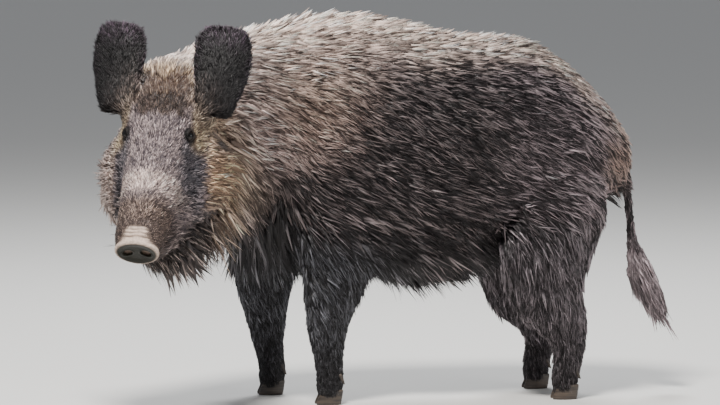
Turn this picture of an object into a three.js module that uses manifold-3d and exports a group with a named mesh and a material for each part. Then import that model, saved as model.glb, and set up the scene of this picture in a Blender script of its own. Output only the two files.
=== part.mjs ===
// A standing wild boar, life size, with its head turned to its left.
//
// Millimetres, +Z up. The boar faces -X, its left side is -Y, and it stands on z = 0.
// Every solid of flesh reaches out to the tips of the coat. The body is modelled whole,
// as lofts through named stations, and is then parted by thin cuts into its named parts.

import * as THREE from 'three';
import { mergeVertices } from 'three/addons/utils/BufferGeometryUtils.js';
import Module from 'manifold-3d';

const wasm = await Module();
wasm.setup();

// ---------------------------------------------------------------- driving dimensions

const GAP = 0.3;                    // width of the cuts between the parts

const CENTRE = { x: 35.5, y: -160.5 };  // middle of the animal's footprint: its box is centred there

const CROWN = { x: -405, y: -215, z: 717 };   // top of the head, between the ears
const HEAD_TURN = 68;               // degrees that the face turns from straight ahead to the left
const HEAD_PITCH = 48;              // degrees that the profile falls below level
const HEAD_ROLL = -2.5;             // degrees that the head is tipped, its left side lower
const HEAD_LENGTH = 450;            // crown to snout disc

const EYE = { x: 185, y: 58, z: -37, radius: 12 };
const DISC = { thick: 15, half: 43, up: 33, down: 35, z: -58 };
const NOSTRIL = { radius: 8, apart: 34, depth: 9 };
const MOUTH = { corner: 292, z: -105, tip: 415 };
const EAR = { x: 126, y: 96, z: -38, length: 166, cup: 0.3, flare: 8 };
const EAR_LEAN = { left: 0.18, right: -0.02 };       // outward share of each ear's direction

const HOOF = { length: 54, width: 22, height: 31, cleft: 3 };
const DEWCLAW = { length: 27, radius: 7, apart: 15, back: 27, z: 50 };

// planes that part the body: a point on each in x and z, and the slope in degrees
const HEAD_CUT = { x: 8, z: 0, slope: -20 };
const NECK_CUT = { x: -178, z: 600, slope: 16 };
const ELBOW_CUT = { z: 318, slope: 18 };
const THIGH_CUT = { x: 250, z: 320, slope: -19 };
const ELBOW_INSIDE = 40;            // half the width of the chest that stays between the forelegs

// ---------------------------------------------------------------- stations of the lofts
// A station is a place on the centre line, with the half width to either side of it and
// the reach above and below it, or before and behind it on a leg or tail.

const station = (x, y, z, half, up, down) => ({
  at: new THREE.Vector3(x, y, z),
  size: new THREE.Vector3(half, up, down),
});

const TRUNK = {
  brisket: station(-220, 0, 500, 82, 160, 134),
  shoulder: station(-150, 0, 500, 118, 266, 194),
  withers: station(-80, 0, 500, 138, 282, 212),
  girth: station(10, 0, 500, 150, 276, 234),
  ribs: station(95, 0, 500, 158, 256, 249),
  belly: station(175, 0, 503, 160, 243, 230),
  flank: station(255, 0, 518, 153, 220, 214),
  hip: station(330, 0, 526, 144, 194, 190),
  rump: station(400, 0, 514, 130, 146, 168),
  haunch: station(462, 0, 494, 108, 104, 128),
  tailHead: station(515, 0, 474, 74, 68, 82),
  buttock: station(548, 0, 462, 46, 32, 44),
};

const NECK = {
  root: station(-40, 0, 515, 130, 252, 212),
  base: station(-130, -5, 530, 128, 252, 214),
  nape: station(-210, -32, 548, 118, 225, 206),
  middle: station(-290, -82, 570, 109, 180, 186),
  poll: station(-354, -140, 590, 98, 138, 160),
  end: station(-390, -190, 598, 80, 104, 120),
};

// in the head's own frame: x from the crown to the snout, y to the left, z out of the profile
const SKULL = {
  poll: station(-26, 0, -100, 66, 84, 96),
  crown: station(22, 0, -98, 86, 98, 112),
  temple: station(80, 0, -94, 97, 94, 122),
  cheek: station(135, 0, -89, 92, 86, 122),
  orbit: station(188, 0, -83, 80, 77, 104),
  face: station(240, 0, -74, 66, 64, 72),
  muzzle: station(310, 0, -67, 55, 53, 44),
  lip: station(375, 0, -62, 50, 47, 40),
  nose: station(HEAD_LENGTH - DISC.thick, 0, DISC.z, 43, 36, 36),
};

const JAW = {
  hinge: station(60, 0, -150, 70, 50, 60),
  angle: station(130, 0, -160, 80, 60, 74),
  body: station(215, 0, -148, 77, 54, 84),
  chin: station(300, 0, -128, 71, 42, 78),
  lip: station(362, 0, -116, 56, 28, 62),
  tip: station(MOUTH.tip, 0, -110, 26, 14, 24),
};

// the long hair that stands off each cheek
const RUFF = { x: 199, y: 67, z: -146, long: 114, out: 63, deep: 91 };

const FORELEG = {
  shoulder: station(0, 0, 420, 44, 76, 66),
  elbow: station(0, 0, 330, 47, 76, 76),
  forearm: station(0, 0, 250, 42, 62, 68),
  knee: station(0, 0, 178, 36, 48, 48),
  cannon: station(0, 0, 105, 28, 32, 32),
  fetlock: station(0, 0, 58, 28, 27, 29),
  pastern: station(0, 0, 30, 28, 27, 28),
  coronet: station(0, 0, 17, 26, 26, 25),
};

const HINDLEG = {
  hip: station(0, 0, 470, 54, 90, 84),
  thigh: station(0, 0, 395, 58, 116, 104),
  stifle: station(0, 0, 320, 54, 110, 98),
  gaskin: station(0, 0, 250, 46, 94, 84),
  calf: station(0, 0, 195, 38, 78, 66),
  hock: station(0, 0, 145, 32, 52, 47),
  cannon: station(0, 0, 95, 28, 32, 33),
  fetlock: station(0, 0, 56, 28, 28, 29),
  pastern: station(0, 0, 30, 28, 27, 27),
  coronet: station(0, 0, 17, 26, 25, 24),
};

// where each leg's centre line passes: [x, y] at every station of its loft, top to bottom
const LEGS = {
  foreleg_left: {
    loft: FORELEG,
    line: [[-72, -70], [-66, -82], [-70, -87], [-80, -88], [-80, -86], [-76, -85], [-78, -85], [-80, -85]],
    toe: -108,
  },
  foreleg_right: {
    loft: FORELEG,
    line: [[-130, 70], [-172, 80], [-184, 86], [-179, 88], [-173, 86], [-166, 85], [-168, 85], [-170, 85]],
    toe: -198,
  },
  hindleg_left: {
    loft: HINDLEG,
    line: [
      [400, -62], [392, -76], [368, -87], [362, -91], [376, -90],
      [405, -87], [410, -85], [402, -85], [400, -85], [399, -85],
    ],
    toe: 371,
  },
  hindleg_right: {
    loft: HINDLEG,
    line: [
      [396, 62], [384, 76], [356, 87], [346, 91], [358, 90],
      [386, 87], [389, 85], [380, 85], [378, 85], [377, 85],
    ],
    toe: 349,
  },
};

const TAIL = {
  root: station(528, 0, 448, 16, 16, 16),
  dock: station(546, 0, 412, 10, 9, 9),
  shaft: station(553, 0, 370, 9, 8, 8),
  middle: station(557, 0, 325, 10, 9, 10),
  tuftTop: station(562, 0, 288, 17, 18, 20),
  tuft: station(577, 0, 250, 22, 30, 31),
  tuftEnd: station(593, 0, 212, 18, 23, 26),
  tip: station(628, 0, 150, 5, 5, 6),
};

const SHEATH = {
  root: station(166, 0, 300, 26, 30, 34),
  tuft: station(166, 0, 250, 15, 19, 23),
  tip: station(177, 0, 186, 4, 4, 5),
};

// ---------------------------------------------------------------- materials

const COAT = {
  mane: 0x9a8a7c,
  flank: 0x4b423c,
  face: 0x85796f,
  leg: 0x2f2c2e,
  ear: 0x2b272c,
};
const EYE_BROWN = 0x120c08;
const BARE_NOSE = 0x8f7a6c;
const HORN = 0x2a2622;

// ---------------------------------------------------------------- solids

function asSolid(geometry) {
  const bare = geometry.clone();
  bare.deleteAttribute('normal');
  bare.deleteAttribute('uv');
  const merged = mergeVertices(bare, 1e-3);
  const mesh = new wasm.Mesh({
    numProp: 3,
    vertProperties: new Float32Array(merged.attributes.position.array),
    triVerts: new Uint32Array(merged.index.array),
  });
  return new wasm.Manifold(mesh);
}

function asGeometry(solid) {
  const mesh = solid.getMesh();
  const geometry = new THREE.BufferGeometry();
  geometry.setAttribute('position', new THREE.BufferAttribute(mesh.vertProperties, 3));
  geometry.setIndex(new THREE.BufferAttribute(mesh.triVerts, 1));
  geometry.computeVertexNormals();
  return geometry;
}

// the distance out of the axis, as a part of the full reach, and the place along the loft,
// for a row of a sphere: both ends are rounded off, and the rows between are even
function alongLoft(row, rows, round) {
  const capRows = Math.max(2, Math.round(rows * 0.14));
  const end = Math.min(row, rows - row);
  if (end >= capRows) {
    const inner = (row - capRows) / (rows - 2 * capRows);
    return { t: round[0] + inner * (1 - round[0] - round[1]), reach: 1 };
  }
  const angle = (end / capRows) * Math.PI / 2;
  const inset = 1 - Math.cos(angle);
  const t = row < rows / 2 ? round[0] * inset : 1 - round[1] * inset;
  return { t, reach: Math.sin(angle) };
}

const vec = (x, y, z) => new THREE.Vector3(x, y, z);

const power = (value, exponent) => Math.sign(value) * Math.abs(value) ** exponent;

// A closed loft: a sphere whose rows are carried onto the sections of the stations.
// above is the direction that the sections' up side faces; crest and keel are the
// exponents of the upper and lower halves, 2 for an ellipse; cup hollows the upper face;
// grow makes every section larger, for a cutter that leaves a gap.
function loft(stations, { above, sides, rows, crest = 2, keel = 2, round = [0.05, 0.05], cup = 0, grow = 0 }) {
  const list = Object.values(stations);
  const line = new THREE.CatmullRomCurve3(list.map((s) => s.at), false, 'catmullrom', 0.5);
  const sizes = new THREE.CatmullRomCurve3(list.map((s) => s.size), false, 'catmullrom', 0.5);
  const sphere = new THREE.SphereGeometry(1, sides, rows);
  const place = sphere.attributes.position;
  for (let row = 0; row <= rows; row += 1) {
    const { t, reach } = alongLoft(row, rows, round);
    const centre = line.getPoint(t);
    const size = sizes.getPoint(t).addScalar(grow).multiplyScalar(reach);
    const tangent = line.getTangent(t);
    const side = new THREE.Vector3().crossVectors(tangent, above).normalize();
    const up = new THREE.Vector3().crossVectors(side, tangent).normalize();
    for (let step = 0; step <= sides; step += 1) {
      const angle = (step % sides) / sides * 2 * Math.PI;
      const [across, rise] = [Math.cos(angle), Math.sin(angle)];
      const bend = rise > 0 ? 2 / crest : 2 / keel;
      const out = power(across, bend);
      const height = power(rise, bend) * (rise > 0 ? size.y : size.z);
      const point = centre.clone()
        .addScaledVector(side, out * size.x)
        .addScaledVector(up, height - cup * size.x * (1 - out * out));
      place.setXYZ(row * (sides + 1) + step, point.x, point.y, point.z);
    }
  }
  return outward(sphere);
}

// turns the triangles over if the mapping has turned the surface inside out
function outward(geometry) {
  const place = geometry.attributes.position;
  const index = geometry.index;
  const [a, b, c] = [new THREE.Vector3(), new THREE.Vector3(), new THREE.Vector3()];
  let volume = 0;
  for (let i = 0; i < index.count; i += 3) {
    a.fromBufferAttribute(place, index.getX(i));
    b.fromBufferAttribute(place, index.getX(i + 1));
    c.fromBufferAttribute(place, index.getX(i + 2));
    volume += a.dot(b.cross(c));
  }
  if (volume > 0) return geometry;
  for (let i = 0; i < index.count; i += 3) {
    const second = index.getX(i + 1);
    index.setX(i + 1, index.getX(i + 2));
    index.setX(i + 2, second);
  }
  return geometry;
}

// ---------------------------------------------------------------- the head's frame

const headFrame = new THREE.Matrix4().makeRotationFromEuler(new THREE.Euler(
  THREE.MathUtils.degToRad(HEAD_ROLL),
  THREE.MathUtils.degToRad(HEAD_PITCH),
  THREE.MathUtils.degToRad(180 + HEAD_TURN),
  'ZYX',
)).setPosition(CROWN.x, CROWN.y, CROWN.z);

const onHead = (geometry) => geometry.applyMatrix4(headFrame);

// ---------------------------------------------------------------- the parts of the body

const UP = new THREE.Vector3(0, 0, 1);
const FRONT = new THREE.Vector3(-1, 0, 0);

function trunkSolid(grow = 0) {
  return asSolid(loft(TRUNK, {
    above: UP, sides: 24, rows: 20, crest: 1.85, keel: 2.15, round: [0.04, 0.02], grow,
  }));
}

function neckSolid(grow = 0) {
  return asSolid(loft(NECK, { above: UP, sides: 22, rows: 11, crest: 1.85, keel: 2.1, grow }));
}

function headSolid(grow = 0) {
  const skull = loft(SKULL, { above: UP, sides: 20, rows: 18, crest: 2.3, round: [0.05, 0.002], grow });
  const jaw = loft(JAW, { above: UP, sides: 14, rows: 10, round: [0.08, 0.05], grow });
  const bare = asSolid(onHead(skull)).add(asSolid(onHead(jaw)));
  return [1, -1].reduce((sum, side) => {
    const reach = [RUFF.long, RUFF.out, RUFF.deep].map((half) => half + grow);
    const ruff = new THREE.SphereGeometry(1, 14, 10).scale(...reach);
    return sum.add(asSolid(onHead(ruff.translate(RUFF.x, side * RUFF.y, RUFF.z))));
  }, bare);
}

// the ear's axis starts on the temple and rises; its hollow faces forward and a little out
function earSolid(side, lean) {
  const rise = (along, half, front, back) =>
    station(along * EAR.length, side * EAR.flare * along ** 2, 0, half, front, back);
  const shape = {
    base: rise(-0.08, 31, 15, 15),
    neck: rise(0.15, 42, 13, 14),
    middle: rise(0.4, 55, 9, 12),
    broad: rise(0.66, 60, 8, 10),
    shoulder: rise(0.88, 52, 7, 9),
    tip: rise(1, 36, 6, 8),
  };
  const blade = loft(shape, { above: UP, sides: 16, rows: 11, round: [0.06, 0.06], cup: EAR.cup });
  const along = vec(-0.74, side * lean, 0.65).normalize();
  const face = vec(0.66, side * 0.25, 0.7);
  const across = new THREE.Vector3().crossVectors(face, along).normalize();
  const outwards = new THREE.Vector3().crossVectors(along, across);
  const pose = new THREE.Matrix4().makeBasis(along, across, outwards);
  return asSolid(onHead(blade.applyMatrix4(pose.setPosition(EAR.x, side * EAR.y, EAR.z))));
}

function legSolid({ loft: sections, line }) {
  const placed = Object.entries(sections).map(([name, s], i) => [
    name,
    station(line[i][0], line[i][1], s.at.z, s.size.x, s.size.y, s.size.z),
  ]);
  return asSolid(loft(Object.fromEntries(placed), { above: FRONT, sides: 12, rows: 15, round: [0.05, 0.03] }));
}

function tailSolid() {
  return asSolid(loft(TAIL, { above: FRONT, sides: 10, rows: 16, round: [0.03, 0.03] }));
}

function sheathSolid() {
  return asSolid(loft(SHEATH, { above: FRONT, sides: 10, rows: 8, round: [0.05, 0.05] }));
}

// One claw of a cloven hoof, toe to the front, its sole flat on the floor: a cylinder
// whose plan narrows to the toe and whose wall slopes back as it rises.
function hoofGeometry(toe, y, outer, grow = 0) {
  const claw = new THREE.CylinderGeometry(1, 1, 1, 14, 1);
  const place = claw.attributes.position;
  for (let i = 0; i < place.count; i += 1) {
    const rise = place.getY(i) + 0.5;
    const ahead = -place.getX(i);
    const narrow = 1 - 0.42 * Math.max(0, ahead) ** 2;
    const draw = 1 - 0.16 * rise;
    const half = (HOOF.length / 2 + grow) * draw;
    const x = toe + HOOF.length / 2 - ahead * half + 9 * rise;
    const across = place.getZ(i) * (HOOF.width / 2 + grow) * narrow * (1 - 0.1 * rise);
    const z = rise * (HOOF.height + grow);
    place.setXYZ(i, x, y + across - outer * 2 * Math.max(0, ahead) ** 2, z);
  }
  return outward(claw);
}

// a dewclaw: a blunt cone behind the fetlock, pointing down and back
function dewclawGeometry(toe, y, grow = 0) {
  const cone = new THREE.CylinderGeometry(
    DEWCLAW.radius + grow, 2.5 + grow, DEWCLAW.length + 2 * grow, 8, 1);
  cone.rotateX(Math.PI / 2);
  cone.rotateY(-0.5);
  cone.translate(toe + HOOF.length / 2 + DEWCLAW.back, y, DEWCLAW.z);
  return outward(cone);
}

// the bare disc of the snout, its rim a little proud, with two nostrils
function discSolid() {
  const disc = new THREE.CylinderGeometry(1, 0.94, DISC.thick, 24, 1);
  disc.rotateZ(-Math.PI / 2);
  disc.rotateX(Math.PI / 2);
  const place = disc.attributes.position;
  for (let i = 0; i < place.count; i += 1) {
    const up = place.getZ(i);
    place.setXYZ(
      i,
      HEAD_LENGTH - DISC.thick / 2 + place.getX(i),
      place.getY(i) * DISC.half,
      DISC.z + up * (up > 0 ? DISC.up : DISC.down),
    );
  }
  return [1, -1].reduce((solid, side) => {
    const bore = new THREE.CylinderGeometry(NOSTRIL.radius, NOSTRIL.radius, 2 * NOSTRIL.depth, 12);
    bore.rotateZ(Math.PI / 2).scale(1, 1, 0.8);
    bore.translate(HEAD_LENGTH, side * NOSTRIL.apart / 2, DISC.z - 2);
    return solid.subtract(asSolid(onHead(bore)));
  }, asSolid(onHead(outward(disc))));
}

function eyeGeometry(side, grow = 0) {
  const ball = new THREE.SphereGeometry(EYE.radius + grow, 12, 8);
  return onHead(ball.translate(EYE.x, side * EYE.y, EYE.z));
}

// ---------------------------------------------------------------- parting the body

// A box from its lowest to its highest corner, turned about Y at a hinge; grow makes it
// larger on every side.
function block(low, high, { hinge = vec(0, 0, 0), slope = 0, frame = new THREE.Matrix4() } = {}) {
  return (grow) => {
    const size = high.clone().sub(low).addScalar(2 * grow);
    const middle = high.clone().add(low).multiplyScalar(0.5);
    const box = new THREE.BoxGeometry(size.x, size.y, size.z).translate(middle.x, middle.y, middle.z);
    box.rotateY(THREE.MathUtils.degToRad(slope)).translate(hinge.x, hinge.y, hinge.z);
    return asSolid(box.applyMatrix4(frame));
  };
}

// what lies in the block, and what is left of the body round it
const part = (body, cutter) => [body.intersect(cutter(0)), body.subtract(cutter(GAP))];

const boar = new THREE.Group();
boar.position.set(-CENTRE.x, -CENTRE.y, 0);

function show(name, geometry, color, roughness = 0.85) {
  const mesh = new THREE.Mesh(geometry, new THREE.MeshStandardMaterial({ color, roughness, metalness: 0 }));
  mesh.name = name;
  boar.add(mesh);
}

const FAR = 600;                    // beyond the body on any side
const headBlock = block(vec(0, -200, -340), vec(FAR, 200, 80), {
  hinge: vec(HEAD_CUT.x, 0, HEAD_CUT.z), slope: HEAD_CUT.slope, frame: headFrame,
});
const neckBlock = block(vec(-FAR, -FAR, -230), vec(0, FAR, FAR), {
  hinge: vec(NECK_CUT.x, 0, NECK_CUT.z), slope: NECK_CUT.slope,
});
const jawBlock = block(vec(MOUTH.corner, -90, -300), vec(HEAD_LENGTH, 90, MOUTH.z), { frame: headFrame });
const muzzleEnd = block(vec(HEAD_LENGTH - DISC.thick, -90, -200), vec(FAR, 90, 80), { frame: headFrame });

function legBlock(name, side) {
  const [x] = LEGS[name].line[2];
  if (name.startsWith('fore')) {
    const [near, far] = side > 0 ? [ELBOW_INSIDE, 220] : [-220, -ELBOW_INSIDE];
    return block(vec(-160, near, -FAR), vec(160, far, 0), {
      hinge: vec(x, 0, ELBOW_CUT.z), slope: ELBOW_CUT.slope,
    });
  }
  const [near, far] = side > 0 ? [GAP / 2, 220] : [-220, -GAP / 2];
  return block(vec(-34, near, -FAR), vec(360, far, 0), {
    hinge: vec(THIGH_CUT.x, 0, THIGH_CUT.z), slope: THIGH_CUT.slope,
  });
}

const legs = Object.values(LEGS).map(legSolid);
const whole = [trunkSolid(), neckSolid(), headSolid(), sheathSolid(), ...legs]
  .reduce((sum, solid) => sum.add(solid));

const [headPiece, withoutHead] = part(whole, headBlock);
const [neck, withoutNeck] = part(withoutHead, neckBlock);
let trunk = withoutNeck;

for (const [name, leg] of Object.entries(LEGS)) {
  const side = Math.sign(leg.line[0][1]);
  let limb;
  [limb, trunk] = part(trunk, legBlock(name, side));
  for (const outer of [1, -1]) {
    const position = outer === 1 ? 'outer' : 'inner';
    const foot = leg.line.at(-1)[1];
    const apart = side * outer;
    const clawY = foot + apart * (HOOF.width + HOOF.cleft) / 2;
    const dewY = foot + apart * DEWCLAW.apart;
    limb = limb
      .subtract(asSolid(hoofGeometry(leg.toe, clawY, apart, GAP)))
      .subtract(asSolid(dewclawGeometry(leg.toe, dewY, GAP)));
    show(`${name}_hoof_${position}`, hoofGeometry(leg.toe, clawY, apart), HORN, 0.5);
    show(`${name}_dewclaw_${position}`, dewclawGeometry(leg.toe, dewY), HORN, 0.5);
  }
  show(name, asGeometry(limb), COAT.leg);
}

const [jaw, upperHead] = part(headPiece, jawBlock);
let head = upperHead.subtract(muzzleEnd(GAP));
for (const [side, word] of [[1, 'left'], [-1, 'right']]) {
  head = head.subtract(asSolid(eyeGeometry(side, GAP)));
  show(`eye_${word}`, eyeGeometry(side), EYE_BROWN, 0.1);
  const ear = earSolid(side, EAR_LEAN[word]).subtract(headSolid(GAP)).subtract(neckSolid(GAP));
  show(`ear_${word}`, asGeometry(ear), COAT.ear);
}

show('head', asGeometry(head), COAT.face);
show('lower_jaw', asGeometry(jaw), COAT.face);
show('snout_disc', asGeometry(discSolid()), BARE_NOSE, 0.4);
show('neck', asGeometry(neck), COAT.mane);
show('trunk', asGeometry(trunk), COAT.flank);
show('tail', asGeometry(tailSolid().subtract(trunkSolid(GAP))), COAT.leg);

export default boar;
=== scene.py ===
# A standing wild boar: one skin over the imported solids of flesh, eyes, hooves, and a coat
# of solid tufts that follows the lie of the hair. Metres, +Z up, the boar faces -X.

import math

import bmesh
import bpy
import numpy as np
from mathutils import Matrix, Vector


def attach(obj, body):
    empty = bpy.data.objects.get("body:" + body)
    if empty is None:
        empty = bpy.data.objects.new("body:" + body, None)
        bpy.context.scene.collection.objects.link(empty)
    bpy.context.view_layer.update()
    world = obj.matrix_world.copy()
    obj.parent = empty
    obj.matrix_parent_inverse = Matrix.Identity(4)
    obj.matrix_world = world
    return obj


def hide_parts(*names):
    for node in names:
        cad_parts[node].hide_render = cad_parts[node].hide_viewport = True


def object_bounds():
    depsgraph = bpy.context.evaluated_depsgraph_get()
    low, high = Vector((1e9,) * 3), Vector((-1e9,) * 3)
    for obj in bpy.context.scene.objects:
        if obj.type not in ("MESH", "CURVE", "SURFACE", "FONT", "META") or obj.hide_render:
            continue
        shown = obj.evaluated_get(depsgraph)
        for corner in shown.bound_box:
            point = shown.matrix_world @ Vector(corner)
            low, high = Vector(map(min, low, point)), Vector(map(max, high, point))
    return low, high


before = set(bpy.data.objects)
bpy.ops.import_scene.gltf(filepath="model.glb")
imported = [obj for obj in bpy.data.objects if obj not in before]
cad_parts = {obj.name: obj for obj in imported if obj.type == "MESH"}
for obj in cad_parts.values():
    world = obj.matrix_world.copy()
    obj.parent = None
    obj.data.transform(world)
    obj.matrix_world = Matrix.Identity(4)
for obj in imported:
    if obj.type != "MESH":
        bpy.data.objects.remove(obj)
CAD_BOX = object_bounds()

import openvdb
from mathutils import Vector

MM = 0.001
rng = np.random.default_rng(20)

# ---------------------------------------------------------------- places, as in the solids

# The solids' own numbers are counted from the withers line; this is the box's middle there.
CENTRE = np.array([35.5, -160.5, 0.0]) * MM

CROWN = np.array([-405.0, -215.0, 717.0]) * MM - CENTRE
HEAD_TURN, HEAD_PITCH, HEAD_ROLL = 68.0, 48.0, -2.5
EYE_PLACE = np.array([185.0, 58.0, -37.0])      # in the head's frame, millimetres
EYE_RADIUS = 12.0
FOLDS = (413.0, 420.5, 427.5, 434.5)    # where the skin folds across the nose
EAR_PLACE = np.array([126.0, 96.0, -38.0])
EAR_LEAN = {1: 0.18, -1: -0.02}


def turned(angle, axis):
    c, s = math.cos(math.radians(angle)), math.sin(math.radians(angle))
    i, j = [(1, 2), (2, 0), (0, 1)][axis]
    m = np.eye(3)
    m[i, i] = m[j, j] = c
    m[i, j], m[j, i] = -s, s
    return m


HEAD = turned(180 + HEAD_TURN, 2) @ turned(HEAD_PITCH, 1) @ turned(HEAD_ROLL, 0)


def to_head(points):
    """Millimetres in the head's frame: x from crown to snout, y to the left, z out of the profile."""
    return (points - CROWN) @ HEAD / MM


def from_head(points):
    return np.asarray(points, float) * MM @ HEAD.T + CROWN


def smooth(low, high, value):
    t = np.clip((value - low) / (high - low), 0, 1)
    return t * t * (3 - 2 * t)


def mix(a, b, t):
    return a + (b - a) * t


def unit(vectors):
    return vectors / np.maximum(np.linalg.norm(vectors, axis=-1, keepdims=True), 1e-9)


def ear_frame(side):
    """The root of an ear, and the directions along it and across it."""
    along = unit(np.array([-0.74, side * EAR_LEAN[side], 0.65]))
    face = np.array([0.66, 0.25 * side, 0.70])
    return EAR_PLACE * [1, side, 1], along, unit(np.cross(face, along))


def ear_place(h):
    """How far along its ear and across it each place of the head lies."""
    left = h[:, 1] > 0
    found = []
    for side in (1, -1):
        root, along, across = ear_frame(side)
        found.append(((h - root) @ along, (h - root) @ across))
    return [np.where(left, a, b) for a, b in zip(*found)]


# ---------------------------------------------------------------- fields on a regular grid

class Field:
    """Values on a grid, read between its points."""

    def __init__(self, values, origin, step):
        self.values = values if values.ndim == 4 else values[..., None]
        self.origin, self.step = np.asarray(origin, float), step

    def at(self, points):
        g = (points - self.origin) / self.step
        top = np.array(self.values.shape[:3]) - 1.001
        g = np.clip(g, 0, top)
        i = g.astype(np.int32)
        f = (g - i)[:, :, None].astype(np.float32)
        v = self.values
        x, y, z = i.T
        out = 0
        for dx in (0, 1):
            wx = f[:, 0] if dx else 1 - f[:, 0]
            for dy in (0, 1):
                wy = f[:, 1] if dy else 1 - f[:, 1]
                for dz in (0, 1):
                    wz = f[:, 2] if dz else 1 - f[:, 2]
                    out = out + v[x + dx, y + dy, z + dz] * (wx * wy * wz)
        return out[:, 0] if out.shape[1] == 1 else out

    def slope(self, points):
        h = self.step * 0.75
        return np.stack([
            (self.at(points + h * axis) - self.at(points - h * axis)) / (2 * h) for axis in np.eye(3)
        ], -1)


def blurred(values, passes):
    for _ in range(passes):
        for axis in range(3):
            v = np.moveaxis(values, axis, 0)
            w = v.copy()
            w[1:-1] = (v[:-2] + 2 * v[1:-1] + v[2:]) / 4
            values = np.moveaxis(w, 0, axis)
    return values


def stretched(values, origin, step, new_origin, new_step, shape):
    """The same field on a finer grid, linear along each axis in turn."""
    for axis in range(3):
        at = (new_origin[axis] + new_step * np.arange(shape[axis]) - origin[axis]) / step
        at = np.clip(at, 0, values.shape[axis] - 1.001)
        i = at.astype(int)
        f = (at - i).astype(np.float32).reshape([-1 if a == axis else 1 for a in range(3)])
        values = np.take(values, i, axis) * (1 - f) + np.take(values, i + 1, axis) * f
    return values


def level_set(parts, step, outside, inside):
    """A signed distance grid round closed meshes, each a pair of points and triangles."""
    points, triangles, count = [], [], 0
    for its_points, its_triangles in parts:
        points.append(its_points)
        triangles.append(its_triangles + count)
        count += len(its_points)
    return openvdb.FloatGrid.createLevelSetFromPolygons(
        np.concatenate(points).astype(np.float32),
        triangles=np.concatenate(triangles).astype(np.uint32),
        transform=openvdb.createLinearTransform(voxelSize=step),
        exBandWidth=float(outside), inBandWidth=float(inside),
    )


def dense(grid, low, shape):
    values = np.zeros(shape, np.float32)
    grid.copyToArray(values, ijk=tuple(int(i) for i in low))
    return values


def arrays_of(mesh):
    """A mesh's points and triangles."""
    mesh.calc_loop_triangles()
    points = np.empty(len(mesh.vertices) * 3)
    mesh.vertices.foreach_get("co", points)
    triangles = np.empty(len(mesh.loop_triangles) * 3, np.int32)
    mesh.loop_triangles.foreach_get("vertices", triangles)
    return points.reshape(-1, 3), triangles.reshape(-1, 3)


def linked(name, data):
    """A new object in the scene."""
    thing = bpy.data.objects.new(name, data)
    bpy.context.scene.collection.objects.link(thing)
    return thing


def mesh_of(node):
    return arrays_of(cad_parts[node].data)


# ---------------------------------------------------------------- the body as a field

LEGS = ["foreleg_left", "foreleg_right", "hindleg_left", "hindleg_right"]
FLESH = ["head", "lower_jaw", "snout_disc", "ear_left", "ear_right", "neck", "trunk", "tail"] + LEGS
HORN = [
    f"{leg}_{kind}_{side}"
    for leg in LEGS for kind in ("hoof", "dewclaw") for side in ("outer", "inner")
]
REGIONS = {
    "head": ["head", "lower_jaw", "snout_disc"],
    "ear": ["ear_left", "ear_right"],
    "neck": ["neck"],
    "trunk": ["trunk"],
    "tail": ["tail"],
    "fore": ["foreleg_left", "foreleg_right"],
    "hind": ["hindleg_left", "hindleg_right"],
}

STEP = 4 * MM                   # the body's grid
COARSE = 12 * MM                # the grid of lengths, directions and regions
JOIN = 1 * MM                   # closes the cuts between the solids
MARGIN = 48 * MM                # the grids reach this far past the solids' box
PAST_BOX = 22 * MM              # the tips reach no further past it than this
SKIN_FACES = 190000

low_corner, high_corner = (np.array(v) for v in CAD_BOX)


def grid_frame(step):
    low = np.floor((low_corner - MARGIN) / step).astype(int)
    high = np.ceil((high_corner + MARGIN) / step).astype(int)
    return low, tuple(high - low + 1)


def whole_distance():
    """The signed distance to the outside of all the solids together."""
    every = [mesh_of(n) for n in FLESH + HORN + ["eye_left", "eye_right"]]
    first = level_set(every, 3 * MM, 3, 3)
    points, triangles, quads = first.convertToPolygons(isovalue=JOIN)
    halves = np.concatenate([triangles, quads[:, [0, 1, 2]], quads[:, [0, 2, 3]]])
    low, shape = grid_frame(STEP)
    again = level_set([(points, halves)], STEP, 14, 16)
    return low * STEP, dense(again, low, shape) + JOIN


def region_weights():
    low, shape = grid_frame(COARSE)
    near = np.stack([
        dense(level_set([mesh_of(n) for n in nodes], COARSE, 12, 6), low, shape) for nodes in REGIONS.values()
    ], -1)
    weight = np.exp(-np.maximum(near, -20 * MM) / (9 * MM))
    weight = weight / weight.sum(-1, keepdims=True)
    return low * COARSE, np.stack([blurred(weight[..., k], 1) for k in range(weight.shape[-1])], -1)


coarse_origin, weights = region_weights()
coarse_points = np.stack(np.meshgrid(*[
    coarse_origin[a] + COARSE * np.arange(weights.shape[a]) for a in range(3)
], indexing="ij"), -1).reshape(-1, 3)
W = dict(zip(REGIONS, weights.reshape(-1, len(REGIONS)).T))


def blend(**by_region):
    """A quantity from its value in each region, on the coarse points."""
    total = 0
    for name, value in by_region.items():
        value = np.asarray(value, float)
        total = total + (W[name][:, None] * value if value.ndim and value.shape[-1] == 3 else W[name] * value)
    return total


def coarse_field(values):
    values = np.asarray(values, np.float32)
    return Field(values.reshape(weights.shape[:3] + values.shape[1:]), coarse_origin, COARSE)


P = coarse_points + CENTRE                   # counted as the solids are
H = to_head(coarse_points)
hx, hy, hz = H.T
px, py, pz = P.T
side_of_head = np.abs(hy)


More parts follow.
